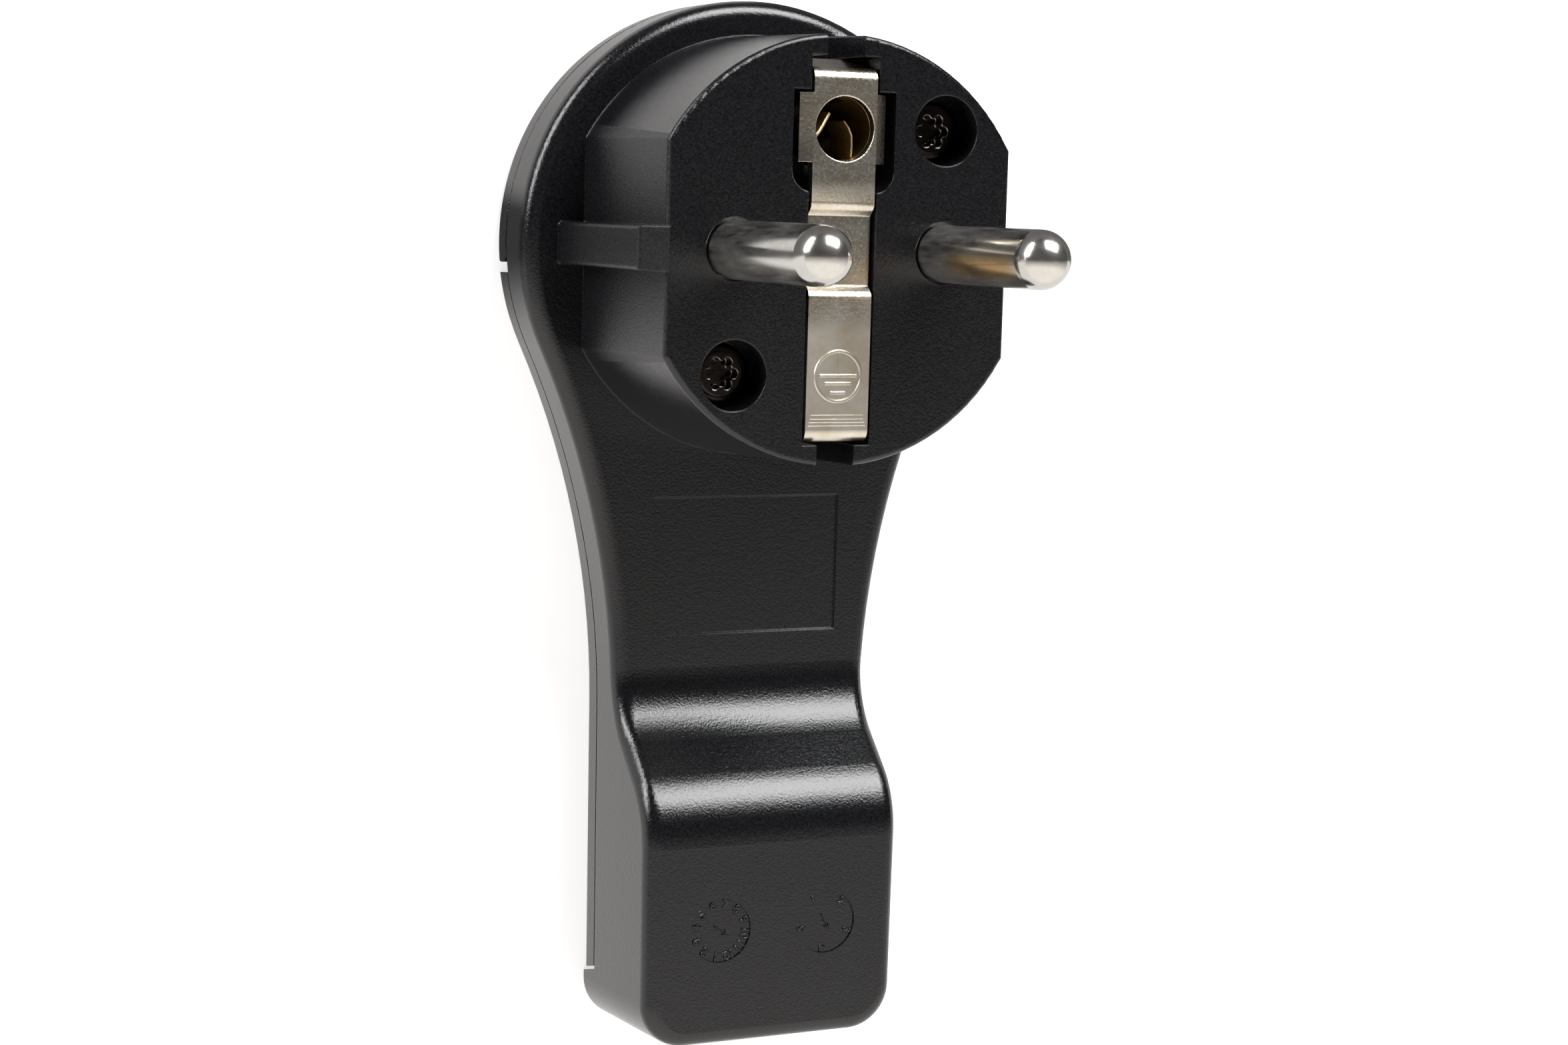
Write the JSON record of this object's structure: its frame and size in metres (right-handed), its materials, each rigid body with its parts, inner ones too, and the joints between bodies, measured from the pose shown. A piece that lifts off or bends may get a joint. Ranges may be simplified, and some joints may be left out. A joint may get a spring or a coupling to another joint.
{
  "type": "type f plug",
  "caption": "Flat earthed mains plug: round head with contact pins on a thin body with a cable block and a fold-out pull handle.",
  "frame": {"origin": "on the flat back, under the axis of the round head, midway between the contact pins", "axes": "+Z out of the back along the pins, +Y from the cable block to the top of the head, +X to the right seen from the pins"},
  "size_m": [0.043, 0.0929, 0.0445],
  "materials": {
    "black_plastic": "fine satin",
    "carrier_plastic": "plain moulded",
    "nickel_plated_brass": "polished nickel plate",
    "nickel_plated_strip": "warm nickel plate",
    "blackened_steel": "dark bronze black",
    "zinc_plated_steel": "zinc plate",
    "brass": "turned"
  },
  "bodies": {
    "plug_body": {"front_shell": "black_plastic", "rear_cover": "black_plastic", "cable_clamp_bar": "black_plastic", "contact_carrier": "carrier_plastic", "contact_pin_left": "nickel_plated_brass", "contact_pin_right": "nickel_plated_brass", "earth_strip": "nickel_plated_strip", "case_screw_upper": "blackened_steel", "case_screw_lower": "blackened_steel", "terminal_screw_left": "zinc_plated_steel", "terminal_screw_right": "zinc_plated_steel", "terminal_washer_left": "zinc_plated_steel", "terminal_washer_right": "zinc_plated_steel", "earth_terminal_screw": "zinc_plated_steel", "earth_terminal_washer": "zinc_plated_steel", "cable_clamp_screw_left": "zinc_plated_steel", "cable_clamp_screw_right": "zinc_plated_steel", "case_insert_upper": "brass", "case_insert_lower": "brass", "earth_sleeve": "brass"},
    "handle": {"pull_handle": "black_plastic"}
  },
  "joints": [
    {"name": "handle_hinge", "type": "hinge", "parent": "plug_body", "child": "handle", "pos_m": [0, -0.0006, 0.0013], "axis": [-1, 0, 0], "range_deg": [0, 90]}
  ]
}
